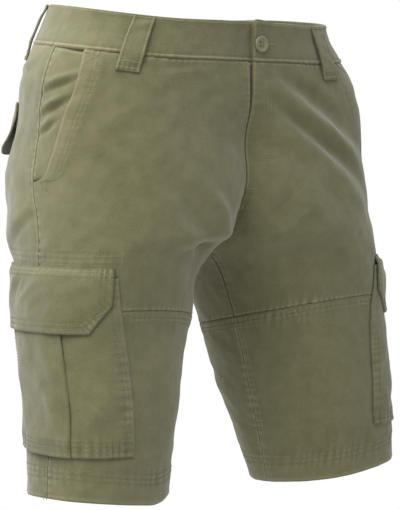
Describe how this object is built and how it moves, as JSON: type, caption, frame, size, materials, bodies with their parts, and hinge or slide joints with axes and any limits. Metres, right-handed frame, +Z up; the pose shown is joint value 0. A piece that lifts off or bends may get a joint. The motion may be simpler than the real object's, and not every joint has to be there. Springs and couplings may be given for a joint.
{
  "type": "cargo shorts",
  "caption": "Knee-length cargo shorts, hollow as if worn, with flapped side pockets, slanted front pockets, belt loops, a fly and a button.",
  "frame": {"origin": "middle of the waist opening, level with the middle of the waistband's top edge", "axes": "+Z up along the wearer, +X to the wearer's left, -Y to the front"},
  "size_m": [0.46, 0.2649, 0.5088],
  "materials": {
    "twill": "garment-washed olive cotton twill with a little stretch, matt, puckered and slightly faded along its seams",
    "zip_tape": "woven tape, dull brown",
    "button": "moulded polyester, olive, satin"
  },
  "bodies": {
    "root": {"waistband": "twill", "front_upper_right": "twill", "front_upper_left": "twill", "back_upper_right": "twill", "back_upper_left": "twill", "front_lower_right": "twill", "front_lower_left": "twill", "back_lower_right": "twill", "back_lower_left": "twill", "pocket_facing_right": "twill", "pocket_facing_left": "twill", "cargo_pocket_right": "twill", "cargo_pocket_left": "twill", "cargo_flap_right": "twill", "cargo_flap_left": "twill", "back_flap_right": "twill", "back_flap_left": "twill", "belt_loop_front_right": "twill", "belt_loop_front_left": "twill", "belt_loop_back_right": "twill", "belt_loop_back_left": "twill", "belt_loop_center_back": "twill", "zip_tape": "zip_tape", "button": "button"}
  },
  "joints": []
}
